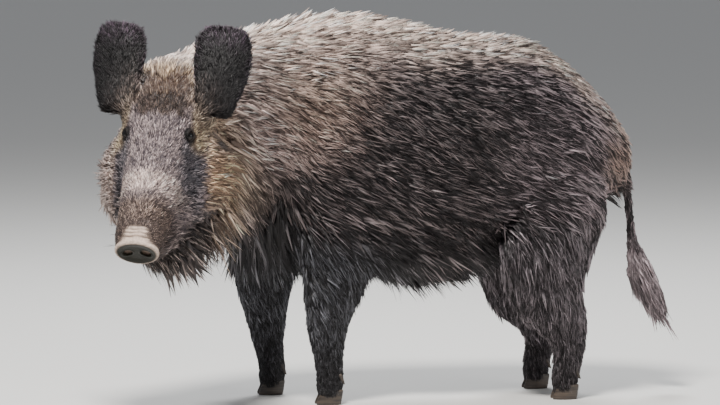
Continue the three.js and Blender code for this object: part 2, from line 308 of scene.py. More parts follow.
def coat_depth():
    """How deep the skin lies under the tips of the coat."""
    ridge = smooth(0.60, 0.74, pz)
    cheek = smooth(62, 112, side_of_head) * smooth(330, 250, hx)
    crown = smooth(120, 40, hx) * smooth(-70, -20, hz)
    jowl = smooth(-120, -190, hz) * smooth(360, 250, hx)
    head = 5 + 12 * crown + 19 * cheek + 13 * jowl * (1 - cheek)
    head = mix(head, 0, smooth(385, 405, hx))
    sheath = smooth(0.285, 0.262, pz) * (np.abs(px - 0.17) < 0.06)
    trunk = mix(19 + 15 * ridge * smooth(0.40, 0.2, px), 13, sheath)
    leg = mix(3, 9, smooth(0.03, 0.18, pz)) + 5 * smooth(0.2, 0.32, pz)
    tail = mix(2.5, 12, smooth(0.33, 0.26, pz)) - 6 * smooth(0.24, 0.18, pz)
    return MM * blend(
        head=head, ear=1.6, neck=22 + 14 * ridge, trunk=trunk, tail=tail, fore=leg, hind=leg + 2,
    )


dock = smooth(0.030, 0.018, np.abs(py)) * smooth(0.515, 0.535, px)
dock = dock * smooth(0.30, 0.34, pz) * smooth(0.475, 0.445, pz)
depth = mix(coat_depth(), 2.5 * MM, dock)
DEPTH = coarse_field(depth)

body_origin, body_values = whole_distance()


def on_body_grid(values):
    values = values.reshape(weights.shape[:3]).astype(np.float32)
    return stretched(values, coarse_origin, COARSE, body_origin, STEP, body_values.shape)


# the solids' creases are smoothed away, but not on the ears, the tail and the nose
thin = on_body_grid(W["ear"] + W["tail"] + W["head"] * smooth(395, 425, hx))
skin_values = mix(blurred(body_values, 5), body_values, np.clip(thin * 1.5, 0, 1)) + on_body_grid(depth)
skin_values = blurred(skin_values, 1).astype(np.float32)
SKIN = Field(skin_values, body_origin, STEP)
OUTLINE = Field(body_values, body_origin, STEP)


# ---------------------------------------------------------------- the skin's mesh

def extract(values, origin, step):
    grid = openvdb.FloatGrid(background=1.0)
    grid.copyFromArray(np.ascontiguousarray(values), ijk=tuple(int(round(v / step)) for v in origin))
    grid.transform = openvdb.createLinearTransform(voxelSize=step)
    return grid.convertToQuads(isovalue=0.0)


plain_points, plain_quads = extract(skin_values, body_origin, STEP)
plain_quads = plain_quads[:, ::-1]


def settle(places, height):
    """Moves places straight in or out until they are at a height over the skin."""
    for _ in range(2):
        slope = SKIN.slope(places)
        size = np.maximum(np.linalg.norm(slope, axis=1), 0.3)
        places = places + slope / size[:, None] ** 2 * (height - SKIN.at(places))[:, None]
    return places


def eye_frame(side):
    """The eye's centre, the way it looks, and the directions along and across its slit."""
    gaze = unit(np.array([0.36, 0.66 * side, 0.66]))
    along = np.array([1.0, 0.0, -0.22])
    along = unit(along - (along @ gaze) * gaze)
    across = np.cross(gaze, along)
    return EYE_PLACE * [1, side, 1], gaze, along, across * np.sign(across[2])


def eye_distance(h):
    return np.minimum(*[np.linalg.norm(h - EYE_PLACE * [1, side, 1], axis=1) for side in (1, -1)])


def disc_ring(h):
    """How far out on the snout's disc a place lies, from 0 in the middle to 1 at the edge."""
    return np.sqrt((h[:, 1] / 43) ** 2 + ((h[:, 2] + 58) / np.where(h[:, 2] > -58, 33, 35)) ** 2)


def wetness(h):
    return smooth(439, 443, h[:, 0]) * smooth(0.97, 0.84, disc_ring(h))


def relief(h):
    """How far the disc, the nostrils, the folds and the lips stand out of the head, in millimetres."""
    a, side, up = h.T
    out = np.abs(side)
    # the disc: a raised rim, a hollow face and two nostrils
    ring = disc_ring(h)
    face = smooth(441, 446, a)
    lift = face * (1.8 * np.exp(-(((ring - 0.93) / 0.09) ** 2)) - 2.2 * smooth(0.86, 0.5, ring))
    hole = np.sqrt(((out - 17.5) / 9.5) ** 2 + ((up + 60 + 0.25 * (out - 17.5)) / 7.5) ** 2)
    lift += face * (0.9 * np.exp(-(((hole - 1.2) / 0.2) ** 2)) - 9.5 * smooth(1.05, 0.55, hole))
    # folds over the nose behind the disc, and the crease that the disc stands out from
    top = smooth(-78, -60, up) * smooth(400, 414, a)
    for place, deep in zip(FOLDS, (0.9, 1.7, 1.9, 2.0)):
        line = a - place + 0.0028 * side ** 2 + 0.9 * np.sin(0.21 * side + place)
        lift -= top * deep * np.exp(-((line / 1.7) ** 2))
    lift += top * 1.6 * np.exp(-(((a - 445) / 3.5) ** 2)) * (1 - face)
    # the line of the mouth
    lip = smooth(288, 304, a) * smooth(447, 436, a)
    lift -= 3.2 * lip * np.exp(-(((up + 104) / 2.6) ** 2))
    lift += 1.2 * lip * np.exp(-(((up + 97) / 5.0) ** 2))
    return lift


def swell(h):
    """Carries places round the eyes out onto the rim of the orbit and the brow."""
    for side in (1, -1):
        centre, gaze, along, across = eye_frame(side)
        d = h - centre
        u, v = d @ along, d @ across
        rise = 4.2 * np.exp(-((np.hypot(u, v) / 26) ** 2))
        rise += 2.6 * np.exp(-(((u + 3) / 18) ** 2 + ((v - 17) / 8) ** 2))
        h = h + (smooth(-14, -4, d @ gaze) * smooth(34, 20, d @ gaze) * rise)[:, None] * gaze
    return h


def lids(h):
    """Lids over both eyes: close over the ball, rolled at their edges, open along a slit."""
    h = swell(h)
    for side in (1, -1):
        centre, gaze, along, across = eye_frame(side)
        d = h - centre
        u, v, w = d @ along, d @ across, d @ gaze
        near = (np.hypot(u, v) < 22) & (w > -12) & (w < 26)
        u, v, w = u[near], v[near], w[near]
        r = np.hypot(u, v)
        bow = np.clip(1 - (u / 10.6) ** 2, 0, 1)
        gap = np.minimum(6.0 * bow - v, v + 4.8 * bow)
        lid = EYE_RADIUS + 1.3 + 0.7 * np.exp(-(((gap + 1.3) / 1.1) ** 2))
        lid -= 0.6 * np.exp(-(((gap + 4.6) / 1.3) ** 2))
        cap = np.where(r < lid, np.sqrt(np.maximum(lid ** 2 - r ** 2, 0)), 3 * (lid - r))
        cover = w + 1.2 * np.log1p(np.exp(np.clip((cap - w) / 1.2, -20, 20)))
        cover = mix(w, cover, smooth(21, 15, r))
        behind = np.sqrt(np.maximum(EYE_RADIUS ** 2 - r ** 2, 0)) - 2.4
        rise = mix(cover, behind, smooth(-0.7, 0.6, gap) * (bow > 0)) - w
        h = h.copy()
        h[near] += rise[:, None] * gaze
    return h


def refined(points, quads):
    """Divides the skin round the eyes and the nose, and shapes what is there."""
    middle = to_head(points[quads].mean(1))
    mouth = (middle[:, 0] > 280) & (np.abs(middle[:, 2] + 104) < 12)
    fine = (middle[:, 0] > 398) | (eye_distance(middle) < 36) | mouth
    mesh = bpy.data.meshes.new("rough")
    mesh.from_pydata(points.tolist(), [], quads.tolist())
    work = bmesh.new()
    work.from_mesh(mesh)
    work.faces.ensure_lookup_table()
    edges = {e for f in np.flatnonzero(fine) for e in work.faces[f].edges}
    bmesh.ops.subdivide_edges(work, edges=list(edges), cuts=3, use_grid_fill=True)
    bmesh.ops.triangulate(work, faces=work.faces)
    work.to_mesh(mesh)
    work.free()
    points, triangles = arrays_of(mesh)
    bpy.data.meshes.remove(mesh)
    h = to_head(points)
    near = ((h[:, 0] > 270) | (eye_distance(h) < 60)) & (np.abs(h[:, 1]) < 130)
    places = settle(points[near], 0.0)
    normal = unit(SKIN.slope(places))
    shaped = lids(to_head(places + normal * (relief(to_head(places)) * MM)[:, None]))
    points[near] = from_head(shaped)
    return points, triangles


def lightened(points, faces):
    """Drops the triangles that the skin's flatter places don't need."""
    mesh = bpy.data.meshes.new("heavy")
    mesh.from_pydata(points.tolist(), [], faces.tolist())
    heavy = linked("heavy", mesh)
    heavy.modifiers.new("light", "DECIMATE").ratio = SKIN_FACES / len(faces)
    light = arrays_of(heavy.evaluated_get(bpy.context.evaluated_depsgraph_get()).to_mesh())
    heavy.to_mesh_clear()
    bpy.data.objects.remove(heavy)
    bpy.data.meshes.remove(mesh)
    return light


skin_points, skin_faces = lightened(*refined(plain_points, plain_quads))

# ---------------------------------------------------------------- the lie of the hair

lattice = rng.uniform(-1, 1, (37, 37, 37)).astype(np.float32)


def ripple(points, size, shift=0.0):
    """Smooth noise from -1 to 1, whose bumps are about size across."""
    g = np.mod(points / size + 11.3 + shift, 36)
    i = g.astype(np.int32)
    f = (g - i).astype(np.float32)
    f = f * f * (3 - 2 * f)
    x, y, z = i.T
    total = 0
    for dx in (0, 1):
        for dy in (0, 1):
            for dz in (0, 1):
                w = (f[:, 0] if dx else 1 - f[:, 0]) * (f[:, 1] if dy else 1 - f[:, 1])
                total = total + lattice[x + dx, y + dy, z + dz] * w * (f[:, 2] if dz else 1 - f[:, 2])
    return total


def stack(x, y, z):
    return np.stack(np.broadcast_arrays(x, y, z), -1).astype(float)


brisket = smooth(-0.10, -0.19, px) * smooth(0.47, 0.38, pz)
throat = smooth(0.47, 0.38, pz)


def lie():
    """The direction of the hair in each region."""
    side = np.clip(hy / 30, -1, 1)
    cheek = smooth(46, 84, side_of_head) * smooth(30, 110, hx)
    low = smooth(-110, -180, hz)
    muzzle = smooth(270, 330, hx) * smooth(12, 40, side_of_head)
    face = stack(-1, 0.3 * side, 0)
    face = mix(face, stack(-0.55, 0.85 * side, -0.35), muzzle[:, None])
    face = mix(face, stack(-0.25, 0.80 * np.sign(hy), -0.55), cheek[:, None])
    face = mix(face, np.array([0.55, 0.0, -1.0]) @ HEAD, low[:, None])
    head = unit(face) @ HEAD.T
    ear = np.zeros((len(H), 3))
    for ear_side in (1, -1):
        pick = hy * ear_side > 0
        _, along, across = ear_frame(ear_side)
        spread = np.clip(ear_place(H)[1] / 34, -1.6, 1.6)
        ear[pick] = (along + spread[:, None] * across)[pick]
    ear = unit(ear) @ HEAD.T
    bend = smooth(-0.12, -0.40, px)
    neck = unit(stack(1 - 0.2 * bend, 0.75 * bend, -0.20 - 0.5 * smooth(0.52, 0.38, pz)))
    neck = mix(neck, stack(0.1, 0, -1), smooth(0.46, 0.36, pz)[:, None])
    back = smooth(0.60, 0.74, pz)
    under = smooth(0.42, 0.30, pz)
    fall = mix(mix(-0.50, -0.10, back), -0.95, under) - 0.6 * smooth(0.36, 0.52, px)
    chest = smooth(-0.10, -0.19, px) * smooth(0.50, 0.42, pz)
    trunk = mix(unit(stack(1, 0, fall)), stack(-0.05, 0, -1), chest[:, None])
    fore = unit(stack(mix(0.50, 0.25, smooth(0.30, 0.12, pz)), 0, -1))
    hind = unit(stack(mix(0.35, 0.10, smooth(0.42, 0.2, pz)), 0, -1))
    tail = unit(stack(0.25, 0, -1))
    flow = blend(head=head, ear=ear, neck=neck, trunk=trunk, tail=tail, fore=fore, hind=hind)
    flow = flow.reshape(weights.shape[:3] + (3,))
    return np.stack([blurred(flow[..., k], 2) for k in range(3)], -1).reshape(-1, 3)


def hair_length():
    """Millimetres from root to tip."""
    ridge = smooth(0.62, 0.75, pz)
    cheek = smooth(58, 95, side_of_head) * smooth(345, 270, hx) * smooth(40, 90, hx)
    crown = smooth(150, 90, hx)
    jowl = smooth(-105, -165, hz)
    muzzle = smooth(280, 330, hx) * smooth(428, 400, hx) * smooth(-20, -60, hz)
    face = mix(10.5, 6, smooth(330, 420, hx)) + 6 * muzzle
    head = np.maximum.reduce([face, 24 * crown, 52 * cheek, 66 * jowl * smooth(410, 330, hx)])
    under = smooth(0.50, 0.32, pz)
    neck = 44 + 12 * ridge + 30 * throat
    trunk = 42 + 14 * ridge * smooth(0.40, 0.2, px) + 22 * under + 34 * brisket
    leg = mix(12, 40, smooth(0.04, 0.30, pz))
    tail = mix(24, 62, smooth(0.33, 0.24, pz))
    return blend(head=head, ear=14, neck=neck, trunk=trunk, tail=tail, fore=leg, hind=leg + 6)


def looseness():
    """How far the tips leave the skin and hang: 0 lies flat, 1 hangs free."""
    jowl = smooth(-120, -180, hz)
    cheek = smooth(70, 100, side_of_head) * smooth(340, 260, hx)
    under = smooth(0.37, 0.29, pz)
    behind = smooth(0.0, 0.06, px + 0.05) * smooth(0.40, 0.33, pz) * smooth(0.10, 0.16, pz)
    before = smooth(0.20, 0.30, pz) * smooth(-0.16, -0.2, px)
    thigh = smooth(0.34, 0.26, px) * smooth(0.34, 0.28, pz) * smooth(0.06, 0.12, pz)
    return blend(
        head=np.maximum.reduce([jowl, 0.6 * cheek, 0.35 * smooth(280, 330, hx)]),
        ear=0.45,
        neck=0.15 + 0.75 * throat,
        trunk=0.12 + 0.75 * np.maximum(under, brisket),
        tail=0.5 * smooth(0.33, 0.26, pz),
        fore=0.15 + np.maximum(0.5 * behind, 0.45 * before),
        hind=0.12 + 0.45 * thigh,
    )


FLOW = coarse_field(lie())
LENGTH = coarse_field(hair_length())
LOOSE = coarse_field(looseness())
REGION = coarse_field(weights.reshape(-1, len(REGIONS)))

# ---------------------------------------------------------------- the markings

def srgb(*rgb):
    c = np.array(rgb) / 255.0
    return np.where(c <= 0.04045, c / 12.92, ((c + 0.055) / 1.055) ** 2.4)


CREAM = srgb(222, 200, 187)
STRAW = srgb(212, 184, 152)
PINK_GREY = srgb(210, 187, 182)
TAN = srgb(194, 160, 136)
RUFOUS = srgb(186, 142, 112)
SMOKE = srgb(150, 136, 136)
SLATE = srgb(108, 108, 114)
LILAC = srgb(168, 152, 156)
UMBER = srgb(112, 90, 78)
SOOT = srgb(40, 35, 36)
COAL = srgb(26, 23, 25)
BARE = srgb(226, 202, 186)
WET = srgb(20, 19, 10)
LID = srgb(16, 14, 15)
BACK_LINE = (                   # x and z of the top line, counted as the solids are
    [-0.30, -0.15, -0.08, 0.01, 0.10, 0.18, 0.26, 0.33, 0.40, 0.46, 0.52, 0.55],
    [0.74, 0.775, 0.782, 0.776, 0.756, 0.746, 0.738, 0.72, 0.66, 0.598, 0.542, 0.494],
)


def layer(base, colour, amount):
    return base + (colour - base) * amount[:, None]


def bump_at(value, centre, half):
    return np.clip(1 - np.abs(value - centre) / half, 0, 1)


def body_markings(points, on):
    """Trunk and neck pale in front and along the back, flanks, belly, legs and tail sooty."""
    x, y, z = (points + CENTRE).T
    wander = 0.035 * ripple(points, 0.10) + 0.022 * ripple(points, 0.035, 5)
    wander = wander + 0.012 * ripple(points, 0.014, 9)
    front = smooth(0.10, -0.09, x + 0.128 - 0.68 * (z - 0.432) + wander)
    front = front * smooth(0.40, 0.51, z + wander)
    below = np.interp(x, *BACK_LINE) - z
    wide = mix(0.12, 0.032, smooth(0.08, 0.42, x))
    ridge = smooth(1.15, 0.15, (below + 0.6 * wander) / wide) * (1 - 0.7 * smooth(0.40, 0.52, x))
    ridge = ridge * mix(1, smooth(0.095, 0.045, np.abs(y) + 0.5 * wander), smooth(0.30, 0.42, x))
    rear = smooth(0.47, 0.55, x + wander) * smooth(0.33, 0.42, z)
    warm = np.exp(-(((x + 0.11) / 0.09) ** 2 + ((z - 0.60) / 0.10) ** 2))
    hip = smooth(0.20, 0.36, x) * smooth(0.28, 0.40, z)
    tip = np.tile(SMOKE * 0.82, (len(points), 1))
    tip = layer(tip, LILAC * 1.05, 0.8 * hip)
    tip = layer(tip, SLATE, smooth(0.36, 0.28, z) * smooth(0.2, 0.0, x) * 0.7)
    tip = layer(tip, TAN, rear * 0.5)
    tip = layer(tip, PINK_GREY, np.maximum(front, 0.8 * ridge))
    tip = layer(tip, TAN, 0.6 * warm)
    tip = layer(tip, CREAM, np.maximum(ridge * 0.9, 0.5 * front * smooth(0.5, 0.7, z)))
    root = layer(np.tile(COAL, (len(points), 1)), srgb(46, 36, 33), front)
    reach = 0.04 + 0.42 * front + 0.54 * ridge + 0.04 * rear + 0.16 * hip * smooth(0.62, 0.42, z)

    limb = np.clip(on["fore"] + on["hind"], 0, 1) * smooth(0.40, 0.30, z)
    tip = layer(tip, mix(SLATE, LILAC, 0.5 * smooth(0.1, 0.3, x)[:, None]), limb)
    tip = layer(tip, SOOT, limb * smooth(0.16, 0.04, z) * 0.6)
    root = layer(root, COAL * 0.8, limb)
    reach = mix(reach, 0.24, limb)
    tip = layer(tip, LILAC, on["tail"])
    root = layer(root, mix(SOOT, LILAC, 0.25), on["tail"] * smooth(0.33, 0.25, z))
    return tip, root, mix(reach, mix(0.1, 0.6, smooth(0.33, 0.25, z)), on["tail"])


def face_markings(points, h):
    """Straw crown, grey bridge with a pale saddle, slate bands under the eyes, and pale ruffs."""
    a, out, up = h[:, 0], np.abs(h[:, 1]), h[:, 2]
    spot = ripple(points, 0.012, 2)
    # painted light and shade: the far side of the face is coloured apart from the near side, with a narrower
    # slate band and a wider pale cheek
    far_side_painted_light = smooth(-20, -60, h[:, 1])
    broad = out + 14 * far_side_painted_light
    band = smooth(46, 60, out + 4 * spot) * smooth(102, 84, broad + 5 * spot)
    band = band * smooth(165, 195, a) * smooth(318, 288, a + 6 * spot)
    crown = smooth(138, 108, a + 8 * spot)
    rim = np.maximum(smooth(40, 10, a), smooth(58, 80, out))
    patch = smooth(0, 0.5, bump_at(a + 9 * spot, 128, 32)) * smooth(58, 36, out + 5 * spot)
    brown = smooth(-0.15, 0.5, ripple(points, 0.03, 6)) * smooth(20, 50, a)
    saddle = smooth(0, 0.7, bump_at(a - 0.1 * out, 306, 36)) * smooth(-125, -85, up)
    mauve = smooth(322, 366, a + 6 * spot)
    # a dark patch under and behind each ear: dark hair together with the ear's painted shadow
    under_ear_hair_and_shadow = np.exp(-(((a - 138) / 32) ** 2 + ((out - 113) / 20) ** 2 + ((up + 112) / 34) ** 2))
    strip = smooth(58, 69, out + 4 * spot) * smooth(218, 185, a)
    strip = strip * smooth(70, 105, a) * smooth(-110, -60, up)
    ahead = smooth(130, 200, a)
    cheek = smooth(mix(74, 94, ahead), mix(88, 112, ahead), broad + 6 * spot) * smooth(-5, 20, a)
    rufous = cheek * np.exp(-(((a - 200) / 68) ** 2 + ((up + 145) / 78) ** 2)) * smooth(-60, 20, h[:, 1])
    low = smooth(-120, -175, up)
    tip = np.tile(mix(LILAC, CREAM, 0.35) * 0.85, (len(points), 1))
    tip = layer(tip, STRAW * 0.76, crown)
    tip = layer(tip, CREAM, np.maximum(0.45 * crown * rim, 0.4 * cheek))
    tip = layer(tip, UMBER * 0.7, np.maximum(patch * 0.95, brown * crown * 0.75 * smooth(75, 50, out)))
    tip = layer(tip, mix(SLATE, LILAC, 0.3), band * 0.85)
    tip = layer(tip, mix(PINK_GREY, CREAM, 0.5) * 1.15, saddle * 0.85)
    tip = layer(tip, srgb(172, 150, 138), mauve * smooth(-130, -80, up))
    tip = layer(tip, mix(STRAW, CREAM, 0.4), cheek)
    # painted light: the far cheek is paler than the near one
    far = cheek * far_side_painted_light
    tip = layer(tip, mix(LILAC, CREAM, 0.6), far)
    tip = layer(tip, mix(RUFOUS, STRAW, 0.5) * 1.9, rufous)
    tip = layer(tip, srgb(206, 188, 158), strip)
    # slate tips under the ear: dark hair with the ear's painted shadow
    tip = layer(tip, SLATE, under_ear_hair_and_shadow)
    tip = layer(tip, mix(SMOKE, CREAM, 0.45), low * (1 - 0.6 * cheek))
    root = layer(np.tile(srgb(70, 62, 68), (len(points), 1)), srgb(58, 42, 36), crown)
    root = layer(root, srgb(36, 35, 42), band)
    root = layer(root, srgb(90, 68, 54), np.maximum(cheek, strip) * 0.9)
    root = layer(root, srgb(56, 44, 42), mauve)
    root = layer(root, srgb(40, 31, 28), patch)
    root = layer(root, srgb(34, 31, 34), low * (1 - 0.6 * cheek))
    # near-black roots under the ear: dark hair with the ear's painted shadow
    root = layer(root, COAL, under_ear_hair_and_shadow)
    # on the far cheek the pale tips reach further, as painted light
    reach = 0.38 + 0.28 * cheek + 0.54 * saddle - 0.08 * crown - 0.10 * band - 0.34 * patch + 0.6 * far
    reach = reach + 0.4 * rufous - 0.06 * mauve + 0.2 * strip
    reach = reach - 0.08 * low * (1 - cheek) - 0.3 * under_ear_hair_and_shadow
    nose, bare = nose_markings(points, h)
    tip, root = mix(tip, nose, bare[:, None]), mix(root, nose, bare[:, None])
    for side in (1, -1):
        centre, gaze, along, across = eye_frame(side)
        d = h - centre
        lid = smooth(18.5, 13, np.hypot(d @ along, d @ across)) * smooth(40, 30, np.abs(d @ gaze)) * 0.95
        tip, root = layer(tip, LID, lid), layer(root, LID, lid)
    return tip, root, reach


def nose_markings(points, h):
    """The bare nose's colour, pale round a dark wet face, with painted shade in the nostrils and along the
    folds, and where it shows.
    """
    a, out, up = h[:, 0], np.abs(h[:, 1]), h[:, 2]
    bare = np.maximum(smooth(438, 446, a), smooth(408, 420, a) * smooth(25 + (a - 415) * 0.6, 15, out))
    bare = bare * smooth(-100, -90, up)
    grain = 0.75 + 0.25 * ripple(points, 0.0022, 4)
    wet = wetness(h)
    nose = mix(BARE * grain[:, None], WET, wet[:, None])
    hole = np.sqrt(((out - 17.5) / 9.5) ** 2 + ((up + 60) / 7.5) ** 2)
    # painted shade: the nostril hollows darkened to near black
    nose = layer(nose, WET * 0.15, smooth(1.1, 0.8, hole) * smooth(432, 440, a))
    nose = layer(nose, BARE * 0.30, (1 - wet) * smooth(-52, -66, up) * 0.7)
    # painted shade along the creases of the folds over the nose
    crease = sum(np.exp(-(((a - fold + 0.0028 * out ** 2) / 1.5) ** 2)) for fold in FOLDS)
    return layer(nose, BARE * 0.35, (1 - wet) * np.clip(crease, 0, 1) * 0.75), bare


def markings(points):
    """The colour of the tips and the roots, and how far the pale tips reach, at places on the skin."""
    on = dict(zip(REGIONS, REGION.at(points).T))
    h = to_head(points)
    tip, root, reach = body_markings(points, on)
    face_tip, face_root, face_reach = face_markings(points, h)
    skull = on["head"]
    tip, root = layer(tip, face_tip, skull), layer(root, face_root, skull)
    reach = mix(reach, face_reach, skull)

    # ears: near black, with a purple-grey bloom at the rims
    ear = on["ear"]
    along, across = ear_place(h)
    bloom = np.maximum(smooth(34, 58, np.abs(across)) * 0.55, smooth(110, 165, along))
    tip = layer(tip, mix(srgb(18, 13, 17), srgb(92, 76, 91), bloom[:, None]), ear)
    root = layer(root, srgb(11, 9, 11), ear)
    reach = mix(reach, 0.10 + 0.2 * bloom, ear)
    return tip, root, reach


# ---------------------------------------------------------------- materials

def principled(name, roughness):
    material = bpy.data.materials.new(name)
    material.use_nodes = True
    nodes, links = material.node_tree.nodes, material.node_tree.links
    shader = nodes["Principled BSDF"]
    shader.inputs["Roughness"].default_value = roughness
    return material, nodes, links, shader


def add_bump(nodes, links, shader, height, strength, distance):
    bump = nodes.new("ShaderNodeBump")
    bump.inputs["Strength"].default_value = strength
    bump.inputs["Distance"].default_value = distance
    links.new(height, bump.inputs["Height"])
    links.new(bump.outputs["Normal"], shader.inputs["Normal"])


def tinted(name, roughness, specular):
    """A material whose colour is the mesh's own tint."""
    material, nodes, links, shader = principled(name, roughness)
    tint = nodes.new("ShaderNodeAttribute")
    tint.attribute_name = "tint"
    links.new(tint.outputs["Color"], shader.inputs["Base Color"])
    shader.inputs["Specular IOR Level"].default_value = specular
    return material, nodes, links, shader


def skin_material():
    """The bare skin: finely grained, matt but for the wet face of the disc."""
    material, nodes, links, shader = tinted("skin", 0.7, 0.2)
    wet = nodes.new("ShaderNodeAttribute")
    wet.attribute_name = "wet"
    gloss = nodes.new("ShaderNodeMapRange")
    gloss.inputs["To Min"].default_value, gloss.inputs["To Max"].default_value = 0.68, 0.34
    links.new(wet.outputs["Fac"], gloss.inputs["Value"])
    links.new(gloss.outputs["Result"], shader.inputs["Roughness"])
    place = nodes.new("ShaderNodeTexCoord")
    grain = nodes.new("ShaderNodeTexVoronoi")
    grain.inputs["Scale"].default_value = 420.0
    links.new(place.outputs["Object"], grain.inputs["Vector"])
    add_bump(nodes, links, shader, grain.outputs["Distance"], 0.4, 0.7 * MM)
    return material


def paint(mesh, colours):
    attribute = mesh.attributes.new("tint", "FLOAT_COLOR", "POINT")
    flat = np.ones((len(colours), 4), np.float32)
    flat[:, :3] = np.clip(colours, 0, 1)
    attribute.data.foreach_set("color", flat.ravel())


def add_mesh(name, points, faces, material):
    """A smooth mesh from arrays; faces is one array of triangles or of quads."""
    mesh = bpy.data.meshes.new(name)
    size = faces.shape[1]
    mesh.vertices.add(len(points))
    mesh.vertices.foreach_set("co", np.asarray(points, np.float32).ravel())
    mesh.loops.add(faces.size)
    mesh.loops.foreach_set("vertex_index", np.ascontiguousarray(faces, np.int32).ravel())
    mesh.polygons.add(len(faces))
    mesh.polygons.foreach_set("loop_start", np.arange(0, faces.size, size, dtype=np.int32))
    mesh.update(calc_edges=True)
    mesh.validate()
    mesh.shade_smooth()
    mesh.materials.append(material)
    piece = linked(name, mesh)
    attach(piece, "root")
    return piece


def add_skin():
    """The skin, marked as its coat is, and wet on the face of the disc."""
    skin = add_mesh("skin", skin_points, skin_faces, skin_material())
    over = skin_points + unit(SKIN.slope(skin_points)) * (0.8 * DEPTH.at(skin_points))[:, None]
    tip, root, reach = markings(over)
    paint(skin.data, mix(root, tip, 0.3 * reach[:, None]))
    wet = skin.data.attributes.new("wet", "FLOAT", "POINT")
    wet.data.foreach_set("value", wetness(to_head(skin_points)).astype(np.float32))
    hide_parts(*FLESH)


# ---------------------------------------------------------------- the coat

TUFTS = 364000
CLUMP = 5                       # tufts that draw together to one point
LASH = srgb(26, 22, 23)
PATCH = 0.003 * np.array([[0, -0.5], [-0.5, 0], [0.5, 0], [0, 0.5]])    # a tuft on the bake's map


def scattered(count):
    """Places for clumps on the skin, closer together where the hair is short."""
    corners = plain_points[plain_quads]
    middle = corners.mean(1)
    diagonals = corners[:, 2:] - corners[:, :2]
    area = 0.5 * np.linalg.norm(np.cross(diagonals[:, 0], diagonals[:, 1]), axis=1)
    length = LENGTH.at(middle)
    cover = mix(2.6, 8, smooth(8, 34, length))
    h = to_head(middle)
    bridge = smooth(408, 416, h[:, 0]) * smooth(-95, -85, h[:, 2])
    bridge = bridge * smooth(24 + (h[:, 0] - 415) * 0.6, 17, np.abs(h[:, 1]))
    bare = REGION.at(middle)[:, 0] * np.maximum(smooth(434, 440, h[:, 0]), bridge)
    bare = np.maximum(bare, smooth(12.5, 11, eye_distance(h)))
    hoof = smooth(0.012, 0.022, middle[:, 2])
    density = cover / (1.4 * length * (0.5 + 0.02 * length)) * (1 - bare) * hoof
    chance = np.cumsum(area * density)
    pick = np.searchsorted(chance, np.sort(rng.uniform(0, chance[-1], count)))
    pick = np.minimum(pick, len(corners) - 1)
    s, t = rng.uniform(0, 1, (2, count, 1))
    q = corners[pick]
    return mix(mix(q[:, 0], q[:, 1], s), mix(q[:, 3], q[:, 2], s), t)


def along_skin(direction, normal):
    return unit(direction - (direction * normal).sum(1)[:, None] * normal)


def within(vectors, most):
    """The vectors, with none longer than the given length."""
    return vectors * np.minimum(1, most / (np.linalg.norm(vectors, axis=1) + 1e-9))[:, None]


def grow():
    """Roots, bends and tips of the tufts, which lie along the skin and draw together in clumps."""
    clumps = settle(scattered(TUFTS // CLUMP), 0.0)
    normal = unit(SKIN.slope(clumps))
    eye = eye_distance(to_head(clumps))
    length = LENGTH.at(clumps) * mix(0.45, 1, smooth(11, 28, eye)) * MM
    depth = DEPTH.at(clumps)
    flow = FLOW.at(clumps)
    flow = flow + 0.20 * np.stack([ripple(clumps, 0.06, 3 + 7 * k) for k in range(3)], -1)
    flow = unit(flow + 0.13 * rng.normal(size=flow.shape))
    loose = np.clip(LOOSE.at(clumps) + 0.12 * rng.normal(size=len(clumps)), 0, 1)
    lean = (flow * normal).sum(1)
    flow = unit(flow - normal * (lean * np.where(lean < 0, 1, 1 - loose))[:, None])
    clump_length = length * rng.uniform(0.8, 1.15, len(clumps)) * (1 + 0.35 * loose)
    shade = rng.normal(size=(len(clumps), 2))
    lift = rng.uniform(0, 1, len(clumps))

    which = np.repeat(np.arange(len(clumps)), CLUMP)
    count = len(which)
    across = unit(np.cross(flow, normal))
    spread = (0.065 * length + 1.3 * MM)[which]
    offset = rng.normal(size=(count, 2)) * spread[:, None]
    shift = offset[:, :1] * across[which] + offset[:, 1:] * 1.3 * along_skin(flow, normal)[which]
    roots = settle(clumps[which] + shift, 0.0)
    n = unit(SKIN.slope(roots))
    aim = unit(flow[which] + 0.09 * rng.normal(size=(count, 3)))
    far = clump_length[which] * rng.uniform(0.75, 1.12, count)
    tips = roots + aim * far[:, None]
    meet = clumps[which] + flow[which] * clump_length[which][:, None]
    draw = rng.uniform(0.1, 0.65, (count, 1)) * smooth(4, 34, length[which] / MM)[:, None]
    tips = mix(tips, meet, draw)
    guard = rng.uniform(0, 1, count) < 0.15 + 0.46 * markings(roots)[2] + 0.14 * shade[which, 0]
    level = np.where(guard, 0.62 + 0.40 * lift[which] + 0.22 * lift[which] ** 5, 0.34 + 0.64 * lift[which])
    high = depth[which] * np.clip(level + 0.08 * rng.normal(size=count), 0.2, 1.25)
    free = SKIN.at(tips)
    wanted = np.clip(free, high, np.maximum(high, loose[which] * 0.8 * far))
    tips = settle(tips, wanted)
    tips = roots + within(tips - roots, 1.25 * far)
    straight = mix(roots, tips, rng.uniform(0.25, 0.45, (count, 1)))
    middles = settle(straight, np.maximum(high * rng.uniform(0.7, 0.95, count), SKIN.at(straight)))
    middles = straight + within(middles - straight, 0.22 * far)
    bow = far * (0.055 * shade[which, 1] + 0.03 * rng.normal(size=count))
    middles = middles + across[which] * bow[:, None]
    beyond = OUTLINE.at(tips) - mix(9, 48, smooth(0.4, 0.9, loose[which])) * MM
    tips = tips - unit(OUTLINE.slope(tips)) * np.maximum(beyond, 0)[:, None]
    lowest = np.append(low_corner[:2] - PAST_BOX, 2 * MM)
    tips = np.clip(tips, lowest, high_corner + PAST_BOX)
    middles[:, 2] = np.maximum(middles[:, 2], lowest[2])
    return {
        "root": roots, "middle": middles, "tip": tips, "normal": n, "length": length[which],
        "shade": shade[which], "guard": guard, "lift": lift[which],
    }


